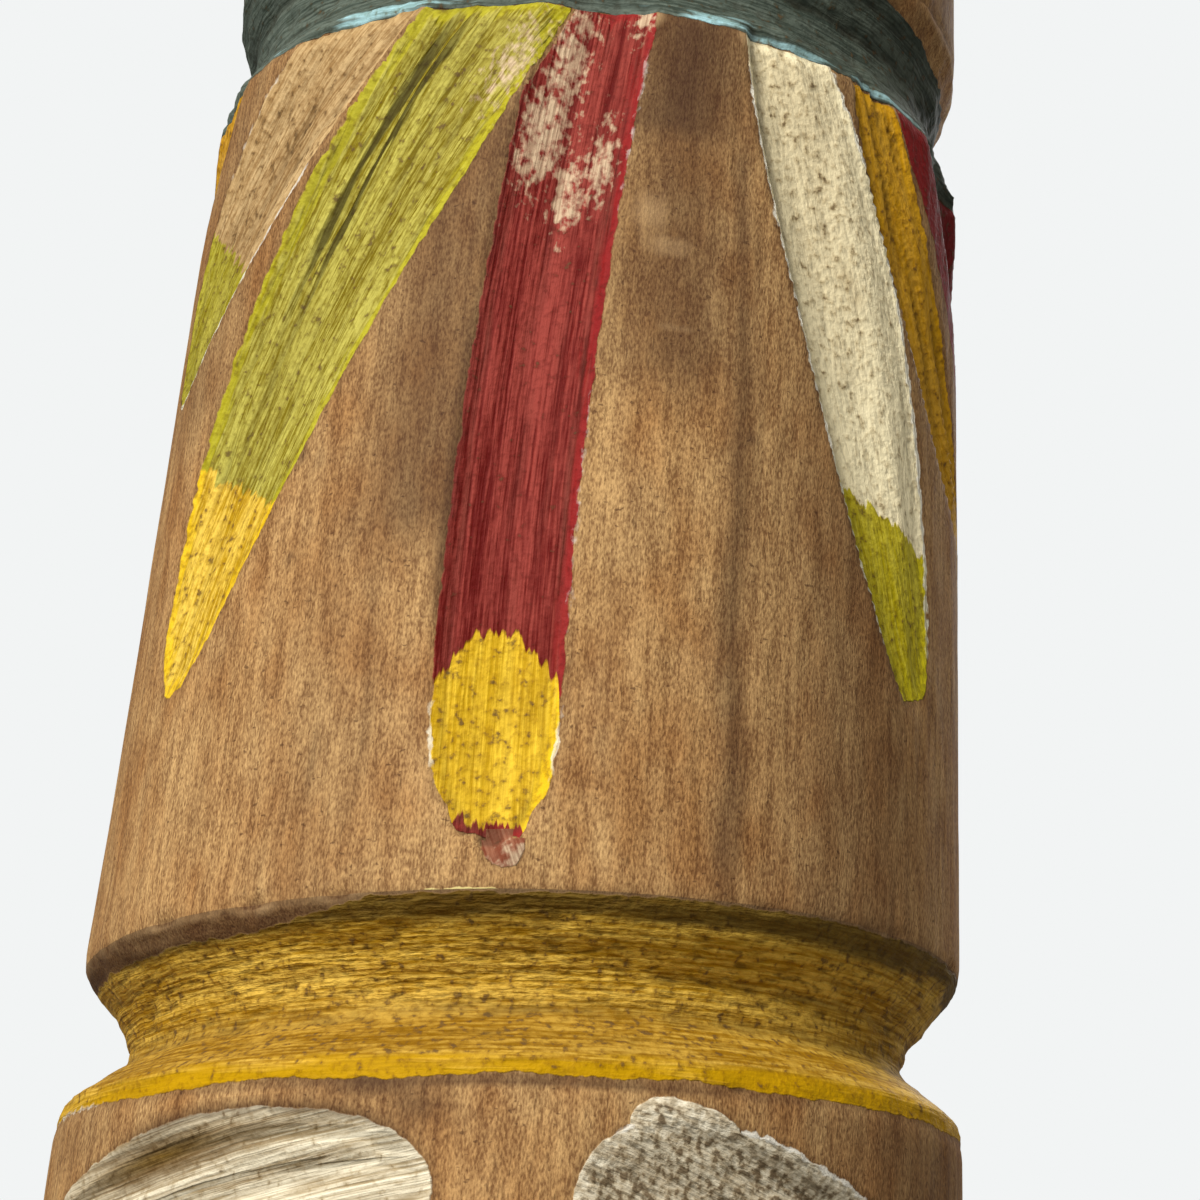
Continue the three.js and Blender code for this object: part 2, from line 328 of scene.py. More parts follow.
def mirrored(side):
    """The same straight stroke on the other side of the front, left and right changed over."""
    start, end = ((-turned, climbed) for turned, climbed in (side["start"], side["end"]))
    flipped = dict(side, start=start, end=end)
    if "pupil" in side:
        flipped["pupil"] = (side["pupil"][0], -side["pupil"][1], side["pupil"][2])
    return flipped


print("powers of feather ends:", SOFT_END, BAR_END)

# %% Feathers
FRONT_FEATHERS = [
    feather(
        -13, -57, 16.8, -2.3, 7.1, 1.5, 0.4, coat="green", tip_coat="yellow", tip_from=0.72, tilt=0.05,
        streak=0.85, specks=-0.2, rim=0.75, tip_streak=0.7, tip_specks=0.1, tip_pale=0.24,
        grooves=[(-0.50, 0.0, 0.6), (-0.30, 0.0, 0.55)], wear=[(0.07, 4.2, 6.0, 3.0, 0.40)],
        soil=[(0.06, 1.5, 6, 4, 0.2), (0.3, 2.5, 14, 2.5, 0.25), (0.55, -1.0, 12, 3.0, 0.2)],
    ),
    feather(
        -35, -71.5, 44.4, -1.6, 5.8, 1.1, 0.38, coat="old_cream", tip_coat="green", tip_from=0.62,
        streak=0.6, rim=0.3, lines=[(1, 0.3, 1.1, 1.0), (-1, 0.12, 0.55, 0.3)],
        soil=[(0.35, 1.2, 7, 2.2, 0.4), (0.55, 0.5, 5, 2.0, 0.3), (0.12, 2.0, 4, 2.0, 0.2),
              (0.8, 0, 9, 5, 0.15)],
    ),
    feather(-72, -101, 47, -0.6, 5.4, 1.0, 0.35, coat="gold", streak=0.5, rim=0.3),
    feather(
        1, -4.4, 2.6, -1.6, 4.7, 1.4, 0.22, BAR_END, coat="red", tip_coat="yellow", oval=(0.866, 7.4, 5.3),
        streak=0.9, specks=-0.6, rim=0.8, rim_side=1, wall=0.7, ridges=0.05, pale=0.05, bare_end=1.1,
        tip_streak=0.6, tip_specks=0.1, tip_pale=0.1, stretch=2,
        # The dark left line is painted shade on the left wall, which faces away from the lamp.
        lines=[(-1, 0.05, 0.72, -0.4), (1, 0.42, 0.8, 0.3), (1, 0.0, 0.3, 0.3), (0, 0.82, 0.95, 0.9)],
        wear=[(0.07, -1.6, 7, 2.6, 0.43), (0.17, -2.4, 7, 2.6, 0.50), (0.24, 0.2, 5, 1.8, 0.44),
              (0.2, 2.6, 5, 1.8, 0.42), (0.01, 3.8, 2.5, 1.4, 0.45)],
        soil=[(0.9, -1.6, 3.0, 1.2, 0.15), (0.84, 1.8, 2.5, 1.4, 0.25), (0.93, 1.0, 2.0, 1.6, 0.15)],
    ),
    feather(
        27.7, 57.3, 19.7, 1.0, 6.2, 1.4, 0.45, coat="warm_white", tip_coat="leaf", tip_from=0.71,
        tip_slant=0.7, tilt=0.3, streak=0.1, specks=-0.5, rim=0.8, ridges=0.05, bare_end=1.2,
        tip_streak=0.4, tip_specks=-0.2, rough=0.45, lines=[(0, 0, 0.95, 0.8)],
        soil=[(0.12, 0.0, 14.0, 5.0, 0.3), (0.3, -0.6, 10.0, 4.0, 0.25), (0.36, 0.9, 1.6, 0.8, 0.5),
              (0.39, 1.6, 1.2, 0.6, 0.5), (0.47, -0.6, 4.0, 2.0, 0.2)],
    ),
    feather(
        44, 80, 38, -2.0, 3.9, 1.0, 0.45, coat="gold", tilt=0.2, streak=0.3, specks=-0.2, rim=0.6,
        ridges=0.2, lines=[(-1, 0.45, 0.9, 0.7)],
    ),
    feather(
        70, 97, 44, 0.6, 6.0, 1.9, 0.2, coat="red", streak=0.2, specks=-0.4, pale=0.0, spread=3.6,
        soil=[(0.3, 0, 30, 8, 0.7)],
    ),
]
BACK_COATS = {-152: "gold", -124: "green", 124: "white", 152: "yellow", 180: "red"}
BACK_FEATHERS = [
    feather(turned, turned, 38, 0, 5.4, 1.1, 0.35, coat=coat, streak=0.7, rim=0.4)
    for turned, coat in BACK_COATS.items()
]
print("feathers:", len(FRONT_FEATHERS), len(BACK_FEATHERS))

# %% Faces and smears
LOWER_EYES = [
    stroke(
        FACE, (-7, LIP - 20.5), (-74, LIP - 29), 8, 2.2, 2, coat="white", tip_coat="black",
        pupil=(0.5, 4.0, 4.3), streak=0.85, specks=-0.9, rim=0.15, ridges=0.18, wall=0.5, stretch=3,
        # The dark line along the top edge and the strong spot below it are painted shade under the upper
        # wall, with dirt.
        grooves=[(-0.78, 0.2, 0.9), (-0.42, 0, 1)], groove_strength=0.4, lines=[(-1, 0.0, 0.6, -0.6)],
        soil=[(0.52, -6.2, 13, 1.6, 1.0), (0.3, -3.0, 9, 0.5, 0.35)],
    ),
    stroke(
        FACE, (8.5, LIP - 19.5), (68, LIP - 31), 8.2, 2.2, 3, coat="white", tip_coat="black",
        pupil=(0.5, -4.0, 4.3), streak=0.4, specks=1.0, rim=0.8, ridges=0.12, wall=0.3, rough=0.8,
        grooves=[(0.35, 0.25, 0.6)], lines=[(0, 0.0, 1.0, 0.7)],
        soil=[(0.5, 0, 22, 5.5, 0.25)],
    ),
]
EYE_SMEAR = stroke(
    FACE, (14, LIP - 15.2), (28, LIP - 16.6), 2.2, 0, 3, coat="white", streak=0.3, specks=0.9, rim=0.9,
    rough=0.8, gap=-1.2,
)
RED_SMEAR = stroke(
    PLUMAGE, (-3.8, LIP + 4.6), (-1.6, LIP + 1.5), 1.5, 0, 2, coat="rust", streak=0.4, specks=-0.5,
    gap=-1.2, wear=[(1.0, 0.3, 2.2, 3.0, 0.4)],
)
LOWER_MOUTH = stroke(
    FACE, (-46, 53), (46, 53), 6.6, 3, 3, bow=-3, coat="red", tip_coat="white", teeth=(6.2, 2.4, 3.0),
    streak=0.5, rim=0.3,
)
HEAD_MOUTH = stroke(
    HEAD, (-42, 220), (42, 220), 2.8, 2, 2.4, bow=-3, coat="red", streak=0.5, rim=0.3,
)
NOSTRIL = stroke(FACE, (4, 68), (12, 66), 2, 1.8, 2.4, coat="black", streak=0.3, specks=-0.5)
HEAD_EYE = stroke(
    HEAD, (10, 256), (58, 265), 6.6, 2, 2.2, coat="white", tip_coat="black", pupil=(0.42, -0.6, 3.2),
    streak=0.4, specks=0.1, rim=0.4,
)
NOSE_CUT = stroke(FACE, (15, 94), (33, 63), 8, 3.6, 3.2)
BEAK_CUT = stroke(HEAD, (31, 252), (19, 221), 9.4, 4.6, 4)
PAIRS = [NOSTRIL, HEAD_EYE, NOSE_CUT, BEAK_CUT]
MIDDLE_STROKES = [EYE_SMEAR, RED_SMEAR, LOWER_MOUTH, HEAD_MOUTH]
STROKES = FRONT_FEATHERS + BACK_FEATHERS + LOWER_EYES + MIDDLE_STROKES + PAIRS + list(map(mirrored, PAIRS))
print("strokes:", len(STROKES))

# %% [markdown]
# ## Cutting the strokes
# A carver drives the gouge in, along and out again. On the unrolled drum a point has a share along the
# stroke and a distance beside its middle line, and the depth falls away from the deepest point as a power
# along and a square across. Side walls are a little steeper, so that edges stay crisp. A boolean cut of the
# mesh would leave long thin faces along every edge.

# %% Places on a stroke
THINNEST = 0.02


def girth(drum):
    """Millimetres round a drum for one degree, at its mean radius."""
    return np.radians((drum["bottom_radius"] + drum["top_radius"]) / 2)


def around_from(start_angle, drum):
    """Millimetres round a drum from an angle, the short way."""
    return ((degrees - start_angle + 180) % 360 - 180) * girth(drum)


def stroke_place(cut):
    """Share along the chord, millimetres beside the bowed middle line and the chord's length, unrolled."""
    turned, climbed = (end - start for start, end in zip(cut["start"], cut["end"]))
    chord = np.array([turned * girth(cut["drum"]), climbed])
    length = np.hypot(*chord)
    ahead = chord / length
    around = around_from(cut["start"][0], cut["drum"])
    rise = height - cut["start"][1]
    along = (around * ahead[0] + rise * ahead[1]) / length
    beside = rise * ahead[0] - around * ahead[1] - cut["bow"] * 4 * along * (1 - along)
    return along, beside, length


def stroke_share(cut, along, beside, length):
    """Depth as a share of the greatest, distance in from the outline as share over slope, and half width."""
    reach = np.abs(along - cut["deepest"]) / (1 - cut["deepest"])
    share = 1 - reach ** cut["power"] - (beside / cut["half_width"]) ** 2
    slope_along = cut["power"] * reach ** (cut["power"] - 1) / (1 - cut["deepest"]) / length
    slope_across = 2 * beside / cut["half_width"] ** 2
    slope = np.maximum(np.hypot(slope_along, slope_across), 1 / cut["half_width"])
    width_there = cut["half_width"] * np.sqrt(np.clip(1 - reach ** cut["power"], THINNEST, 1))
    return share, share / slope, width_there


print("one degree round the feathers, mm:", girth(PLUMAGE).round(2))

# %% Cutting
RIM_OVERRUN = 4
WALL_DEPTH = 0.4
WALL_WIDTH = 0.9
WALL_SLOPE = 1.3
PAINT_GAP = 0.3
FAR_OUT = -99.0

carved_radius = blank_radius.copy()
covered = np.full_like(height, FAR_OUT)
for cut in STROKES:
    along, beside, length = stroke_place(cut)
    share, inside, width_there = stroke_share(cut, along, beside, length)
    if cut["feather"]:
        share = np.where(along * length < -RIM_OVERRUN, -1, share)
    wall = min(cut.get("wall", WALL_DEPTH), cut["depth"]) * np.clip(inside / WALL_WIDTH, 0, 1)
    floor_depth = np.maximum(cut["depth"] * share - cut.get("tilt", 0) * beside, wall)
    floor_depth = np.minimum(floor_depth, WALL_SLOPE * np.clip(inside, 0, None))
    floor_radius = drum_radius(cut["drum"], height) - floor_depth
    carved_radius = np.where(share > 0, np.minimum(carved_radius, floor_radius), carved_radius)
    inside = inside + cut.get("spread", 0) * (1 - np.clip(along, 0, 1))
    if cut["feather"]:
        inside = np.minimum(inside, RIM - level)
        inside = np.minimum(inside, (1 - along) * length - cut.get("bare_end", 0))
    if "coat" in cut:
        inside = np.minimum(inside, -covered - cut.get("gap", PAINT_GAP))
        covered = np.maximum(covered, inside)
    cut.update(along=along, beside=beside, length=length)
    cut.update(share=share, inside=inside, width_there=width_there)
print("deepest cut, mm:", (blank_radius - carved_radius).max().round(2))

# %% [markdown]
# ## Hand work and wear in relief
# A gouge leaves ridges along its stroke, a lathe leaves rings round a cove, edges are knocked round and
# chipped, and the grain stands up a little. Sums of random cosine waves give all of these: long waves one
# way and short ones the other make ridges. They are seeded, so that the same wood comes out each time.

# %% Grain and ridges
UNEVENNESS = 0.07
GRAIN_HEIGHT = 0.025
RIDGE_HEIGHT, RIDGE_SIZE = 0.09, (16, 1.9)
FINE_RIDGE_SHARE, FINE_RIDGE_SIZE = 0.5, (9, 1.0)
RIDGES_FULL_FROM = 1 / 3


def waves(points, lengths, seed, count=40):
    """A sum of cosine waves in random directions, its spread about one, its bumps sized by lengths."""
    random = np.random.default_rng(seed)
    turns = random.normal(size=(count, len(lengths))) / np.asarray(lengths) * np.pi
    starts = random.uniform(0, 2 * np.pi, count)
    total = np.zeros(points.shape[:-1])
    for wave_turn, wave_start in zip(turns, starts):
        total += np.cos(points @ wave_turn + wave_start)
    return total * np.sqrt(2 / count)


radius = carved_radius + UNEVENNESS * waves(blank_points, (12, 12, 40), seed=1)
radius += GRAIN_HEIGHT * waves(blank_points, (1.3, 1.3, 12), seed=2)
for number, cut in enumerate(STROKES):
    on_floor = cut["share"] > 0
    floor_place = np.stack([cut["along"] * cut["length"], cut["beside"]], axis=-1)[on_floor]
    ridges = waves(floor_place, RIDGE_SIZE, seed=20 + number)
    ridges += FINE_RIDGE_SHARE * waves(floor_place, FINE_RIDGE_SIZE, seed=60 + number)
    fade = np.clip(cut["share"][on_floor] / RIDGES_FULL_FROM, 0, 1)
    radius[on_floor] += cut.get("ridges", RIDGE_HEIGHT) * ridges * fade
print("grain and ridges, mm:", np.abs(radius - carved_radius).max().round(2))

# %% Rings and worn edges
COVES = [(FOOT["top"], FACE["bottom"]), (FACE["top"], LIP), (RIM, HEAD["bottom"])]
RING_RADIUS = 32
RING_HEIGHT, RING_SIZE = 0.10, (45, 45, 1.5)
TEAR_SHARE, TEAR_SIZE = 0.6, (3, 3, 1.3)
RING_FADE = 1.2
EDGE_WIDTH = 0.45
CHIP_DEPTH, CHIP_SIZE, CHIPS_FROM = 0.35, (5, 5, 5), 1.2
EDGES = {
    FOOT["top"]: 0.25, FACE["bottom"]: 0.25, FACE["top"]: 0.15, LIP: 0.1, RIM: 0.15,
    HEAD["bottom"]: 0.2, HEAD["top"]: 0.25, CROWN["bottom"]: 0.25,
}


def between(value, first, last, fade_in, fade_out):
    """1 between two values and 0 outside them: two straight slopes, as wide as the fades, multiplied."""
    return np.clip((value - first) / fade_in, 0, 1) * np.clip((last - value) / fade_out, 0, 1)


ring_place = np.stack([RING_RADIUS * to_right, RING_RADIUS * np.cos(angle), level], axis=-1)
for number, (low, high) in enumerate(COVES):
    in_cove = between(level, low, high, RING_FADE, RING_FADE)
    cove = in_cove > 0
    rings = waves(ring_place[cove], RING_SIZE, seed=100 + number)
    rings += TEAR_SHARE * waves(ring_place[cove], TEAR_SIZE, seed=110 + number)
    radius[cove] += RING_HEIGHT * rings * in_cove[cove]
chips = np.clip(waves(blank_points, CHIP_SIZE, seed=5) - CHIPS_FROM, 0, 1)
for edge, edge_wear in EDGES.items():
    near_edge = np.exp(-((level - edge) / EDGE_WIDTH) ** 2)
    radius -= near_edge * (edge_wear + CHIP_DEPTH * chips)
print("all relief, mm:", np.abs(radius - carved_radius).max().round(2))

# %% [markdown]
# ## The skin as a mesh
# Neighbouring rows and columns make four-sided faces, the last column joins the first, and one point on the
# axis closes each end. Whole arrays of corner numbers go to the mesh at once.

# %% Mesh
HIGHEST_RELIEF = 0.3

row_count, column_count = radius.shape
radius = np.minimum(radius, blank_radius + HIGHEST_RELIEF)
surface = np.stack([radius * to_right, -radius * np.cos(angle), height], axis=-1)
corner_number = np.arange(row_count * column_count).reshape(row_count, column_count)
next_column = np.roll(corner_number, -1, axis=1)
quad_corners = [corner_number[:-1], next_column[:-1], next_column[1:], corner_number[1:]]
quads = np.stack(quad_corners, axis=-1).reshape(-1, 4)
bottom_point = row_count * column_count
top_point = bottom_point + 1
bottom_fan = np.stack([next_column[0], corner_number[0], np.full(column_count, bottom_point)], axis=-1)
top_fan = np.stack([corner_number[-1], next_column[-1], np.full(column_count, top_point)], axis=-1)
end_points = np.array([(0, 0, 0), (0, 0, CROWN["top"])])
points = np.concatenate([surface.reshape(-1, 3), end_points]) * MM

skin = bpy.data.meshes.new("totem_pole_skin")
skin.from_pydata(points.tolist(), [], quads.tolist() + bottom_fan.tolist() + top_fan.tolist())
skin.shade_smooth()
print("triangles:", 2 * len(quads) + 2 * column_count)

# %% [markdown]
# ## Where the paint goes
# The painter filled each stroke with one colour and dipped the tip in another, then ran a brush round the
# coves. Each painted area is a distance in from its edge, so the shader can make that edge ragged and crisp.
# A picture could be painted instead, but distances keep their sharpness at any size.

# %% Coats
COATS = {
    "green": "#B2A81A", "leaf": "#CABA14", "yellow": "#F0C418", "gold": "#D59D0F", "red": "#90201F",
    "white": "#F8ECD0", "warm_white": "#FFF0C4", "old_cream": "#C4A06C", "black": "#2B2622",
    "rust": "#8C4A32", "cove_yellow": "#E4B426", "clean_yellow": "#C09200", "blue_green": "#4A5953",
    "pale_blue": "#9CC6CC", "cream": "#E6D58C",
}
PLAIN_COAT = dict(
    second=FAR_OUT, first_line=FAR_OUT, second_line=FAR_OUT, line_ends=0, groove_strength=1, worn=0, line=0,
    soil=0, wrinkle=0, rim=0, specks=0, depthwise=0, pale=0.2, blend=0.1,
)


def painted_area(values):
    """A plain coat's values, then an area's own. Its tip is like the rest where nothing else is said."""
    area = dict(PLAIN_COAT, **values)
    for trait in ("coat", "streak", "specks", "pale"):
        area.setdefault("tip_" + trait, area[trait])
    return area


print("coats:", len(COATS))

# %% Second colours
OVAL_TAPER = 0.22


def second_inside(cut):
    """Distance in from the second colour's edge: past a share of the length, an oval, a round or a row."""
    along_mm = cut["along"] * cut["length"]
    if "tip_from" in cut:
        return along_mm - cut["tip_from"] * cut["length"] - cut.get("tip_slant", 0) * cut["beside"]
    if "oval" in cut:
        middle, half_length, half_width = cut["oval"]
        onward = (along_mm - middle * cut["length"]) / half_length
        away = np.hypot(onward, cut["beside"] / half_width / (1 + OVAL_TAPER * np.minimum(onward, 0)))
        return (1 - away) * half_width
    if "pupil" in cut:
        middle, beside, size = cut["pupil"]
        return size - np.hypot(along_mm - middle * cut["length"], cut["beside"] - beside)
    if "teeth" in cut:
        spacing, half_width, half_height = cut["teeth"]
        from_tooth = np.abs((along_mm - cut["length"] / 2) % spacing - spacing / 2)
        return np.minimum(half_width - from_tooth, half_height - np.abs(cut["beside"]))
    return np.full_like(along_mm, FAR_OUT)


print("two-coloured strokes:", sum("tip_coat" in cut for cut in STROKES))

# %% Marks on a stroke
LINE_FADE = 1 / 12
GROOVE_START, GROOVE_END = 1 / 10, 1 / 6


def patches(spots, cut):
    """Soft round spots on a stroke: the strongest of the spots at each point, each a bell curve."""
    amount = np.zeros_like(height)
    for middle, beside, along_size, across_size, strength in spots:
        away_along = (cut["along"] - middle) * cut["length"] / along_size
        away_across = (cut["beside"] - beside) / across_size
        amount = np.maximum(amount, strength * np.exp(-away_along ** 2 - away_across ** 2))
    return amount


def edge_lines(cut):
    """How pale, or dark with dirt and painted shade, an edge is between two shares: the right for side 1,
    the left for -1, both for 0.
    """
    amount = np.zeros_like(height)
    for side, first, last, strength in cut.get("lines", []):
        ends = between(cut["along"], first, last, LINE_FADE, LINE_FADE)
        amount += strength * ends * (side * cut["beside"] >= 0)
    return amount


def groove_lines(cut):
    """Signed distances from up to two knife lines, at shares of the half width, and where the last ends."""
    fields = {}
    for name, (across, first, last) in zip(("first_line", "second_line"), cut.get("grooves", [])):
        fields[name] = cut["beside"] - across * cut["width_there"]
        fields["line_ends"] = between(cut["along"], first, last, GROOVE_START, GROOVE_END)
    return fields


print("strokes with marks:", sum("soil" in cut for cut in STROKES))

# %% Painted strokes
SHOWN_HALF, SHOWN_FADE, SHOWN_LENGTH = 1.0, 2.0, 3.0


def rounded_end(cut, second):
    """Past an oval's middle the first colour ends with the oval, but for a little that shows below it."""
    lower = cut["along"] > cut["oval"][0]
    to_side = np.clip((np.abs(cut["beside"]) - SHOWN_HALF) / SHOWN_FADE, 0, 1)
    rounded = np.minimum(cut["inside"], second + SHOWN_LENGTH * (1 - to_side))
    return dict(inside=np.where(lower, rounded, cut["inside"]), second=second + to_side * lower)


areas = []
for cut in STROKES:
    if "coat" in cut:
        fields = dict(second=second_inside(cut), line=edge_lines(cut), **groove_lines(cut))
        if "oval" in cut:
            fields.update(rounded_end(cut, fields["second"]))
        fields["along_mm"] = cut["along"] * cut["length"] / cut.get("stretch", 1)
        fields["wrinkle"] = cut.get("rough", 0)
        fields["rim"] = cut.get("rim", 0) * (cut["beside"] * cut.get("rim_side", 0) >= 0)
        fields["worn"] = patches(cut.get("wear", []), cut)
        fields["soil"] = patches(cut.get("soil", []), cut)
        areas.append(painted_area(dict(cut, **fields)))
print("painted strokes:", len(areas))

# %% [markdown]
# ## Painted rings
# The coves were painted on the lathe, with a brush held against the turning wood, so their edges waver and
# their streaks run round. Clean yellow is left along the foot of one cove and a pale blue line along that of
# the other. Heights that waver with the same seeded waves give both.

# %% Rings of paint
DEPTH_SQUEEZE = 10
EDGE_GAP, PAST_TOP = 0.3, 20

wander = waves(blank_points, (14, 14, 14), seed=7)


def painted_ring(low, high, coat, streak, **more):
    """A painted ring between two heights, brushed round the pole."""
    inside = np.minimum(np.minimum(level - low, high - level), -covered)
    brushed = dict(along_mm=ring_place[..., 0], depthwise=ring_place[..., 1] / DEPTH_SQUEEZE)
    ring = dict(inside=inside, beside=level, coat=coat, streak=streak, **brushed)
    return painted_area(dict(ring, **more))


plain_rings = [
    painted_ring(FOOT["top"] - 0.2, FACE["bottom"], "red", 0.5, pale=0.08),
    painted_ring(HEAD["top"] + EDGE_GAP, CROWN["bottom"] - EDGE_GAP, "cove_yellow", 0.6),
    painted_ring(CROWN["bottom"] - EDGE_GAP, CROWN["top"] + PAST_TOP, "blue_green", 0.6, pale=0.1),
]
print("plain rings:", len(plain_rings))

# %% Yellow cove
CLEAN_WIDTH, CLEAN_WANDER, CLEAN_TO_RIGHT = 1.3, 0.35, 0.5
FRONT_SOIL, SOIL_FROM, SOIL_TO = 0.5, 1.0, 7.5
RIGHT_SHADE, RIGHT_SHADE_HEIGHT = 0.25, 4
PALE_HEIGHT, PALEST = 3, 0.4
WRINKLED_FROM, WRINKLE_FADE, MOST_WRINKLED = 4.5, 2.5, 0.9
BARE_AT_TOP, BARE_AT_LEFT = 0.25, 1.6

up_cove = level - FACE["top"]
clean_band = CLEAN_WIDTH + CLEAN_WANDER * wander + CLEAN_TO_RIGHT * to_right - up_cove
front_soil = FRONT_SOIL * between(up_cove, SOIL_FROM, SOIL_TO, 1, 3) * np.clip(1.2 - to_right, 0, 1)
# The cove's right side is darkened as painted shade.
side_soil = RIGHT_SHADE * np.clip(2 * to_right - 1.0, 0, 1) * np.clip(up_cove / RIGHT_SHADE_HEIGHT, 0, 1)
far_left = np.clip(-1.2 - 4 * to_right, 0, 1)
yellow_cove = painted_ring(
    FACE["top"] + 0.05 - 0.15 * wander, LIP - BARE_AT_TOP - BARE_AT_LEFT * far_left,
    "cove_yellow", 0.75, specks=-0.1, pale=0.17, second=clean_band, blend=0.5,
    tip_coat="clean_yellow", tip_streak=0.2, tip_specks=-0.5, tip_pale=0.0,
    soil=np.maximum(front_soil, side_soil),
    line=np.clip((-to_right - 0.8) * 6, 0, PALEST) * (up_cove < PALE_HEIGHT),
    wrinkle=np.clip((up_cove - WRINKLED_FROM) / WRINKLE_FADE, 0, MOST_WRINKLED),
)
print("widest clean yellow, mm:", (clean_band + up_cove).max().round(1))

# %% Blue cove and lip
LINE_ANGLES = [-60, -48, -42, -28, -22, -14, 2, 7, 24, 32, 60, 80]
LINE_WIDTHS = [-0.4, -0.1, 0.4, 0.5, 0.1, -0.3, -0.2, 0.3, 0.4, 0.15, 0.12, -0.4]
LINE_WANDER, LINE_RISE = 0.08, 0.3
BLUE_OVER_TOP, BARE_AT_RIGHT = 1.0, 4.6
MARK_ANGLE, MARK_HALF_ANGLE, MARK_BELOW, MARK_HALF_HEIGHT = -4.7, 6.5, 0.1, 0.16

line_width_there = np.interp(degrees, LINE_ANGLES, LINE_WIDTHS) + LINE_WANDER * wander
# The blue cove's right side is darkened as painted shade.
blue_cove = painted_ring(
    RIM, HEAD["bottom"] + BLUE_OVER_TOP - BARE_AT_RIGHT * np.clip(to_right, 0, 1), "blue_green", 0.6,
    second=line_width_there - np.abs(level - RIM - LINE_RISE), specks=-0.4, pale=0.1, blend=0.2,
    tip_coat="pale_blue", tip_streak=0.5, tip_specks=-0.4, soil=0.4 * np.clip(1.3 * to_right - 0.45, 0, 1),
)
mark_up = MARK_HALF_HEIGHT - np.abs(level - LIP + MARK_BELOW)
mark_across = MARK_HALF_ANGLE - np.abs(degrees - MARK_ANGLE)
lip_inside = np.minimum(mark_up, mark_across) + 0.15 * wander
lip_mark = painted_ring(LIP - 1, LIP + 1, "cream", 0.2, specks=-0.5, inside=lip_inside)
areas += [yellow_cove, blue_cove, *plain_rings, lip_mark]
print("painted areas:", len(areas))

# %% [markdown]
# ## Values on the mesh for the shader
# Attributes carry the plan to the shader: distances in from edges, the brush's own coordinates, and how
# streaky, specked, soiled or darkened as painted shade, and worn the coat is. Each face belongs to the
# painted area that it is deepest in and takes that area's values, so that two areas never mix on a face.

# %% Owners
face_corners = np.concatenate([quads.ravel(), bottom_fan.ravel(), top_fan.ravel()])
face_sizes = np.concatenate([np.full(len(quads), 4), np.full(2 * column_count, 3)])
face_starts = np.concatenate([[0], np.cumsum(face_sizes)[:-1]])


def on_points(field):
    """A field of the grid as one value for each mesh point, with the end rows' means at the axis points."""
    grid = np.broadcast_to(field, height.shape)
    return np.concatenate([grid.ravel(), [grid[0].mean(), grid[-1].mean()]])


inside_points = np.stack([on_points(area["inside"]) for area in areas])
face_inside = np.add.reduceat(inside_points[:, face_corners], face_starts, axis=1)
owner = np.repeat(np.argmax(face_inside, axis=0), face_sizes)
print("areas that own faces:", len(np.unique(owner)))

# %% Stored values
AREA_SPACING = 37.0
ATTRIBUTES = {
    "edge": ("inside", "second", "worn"),
    "brush": ("along_mm", "beside", "offset"),
    "traits": ("streak", "specks", "pale"),
    "tip_traits": ("tip_streak", "tip_specks", "tip_pale"),
    "borders": ("rim", "blend", "groove_strength"),
    "grooves": ("first_line", "second_line", "line_ends"),
    "marks": ("line", "soil", "wrinkle"),
}


def store(name, values, domain="CORNER", kind="FLOAT_VECTOR", key="vector"):
    """Puts an array of values on the mesh as a named attribute."""
    data = skin.attributes.new(name, kind, domain).data
    data.foreach_set(key, np.ascontiguousarray(values, dtype=np.float32).ravel())


def from_owner(field):
    """For each face corner, the value of its owning area's field at that corner's point."""
    return np.stack([on_points(area[field]) for area in areas])[owner, face_corners]


for number, area in enumerate(areas):
    area["offset"] = area["depthwise"] + AREA_SPACING * number
for name in ("coat", "tip_coat"):
    colours = np.array([linear(COATS[area[name]]) for area in areas])
    store(name, colours[owner], kind="FLOAT_COLOR", key="color")
for name, fields in ATTRIBUTES.items():
    store(name, np.stack([from_owner(field) for field in fields], axis=-1))
print("attributes:", list(ATTRIBUTES))

# %% [markdown]
# ## Stains, scuffs, dirt and painted shade
# Handling has left dark streaks down the wood, dents, rubbed spots and dirt in every hollow, which is also
# darkened as painted shade. The lip's underside is painted nearly black as shade with some grime, and a thin
# painted shadow with some dirt lies under the clean yellow band. Streaks have an angle, a half width, two
# heights above the lip and a strength. Marks have an angle, a height above the lip, two sizes and a
# strength, below 0 where they are rubbed pale. All these are soft, so they sit on points.

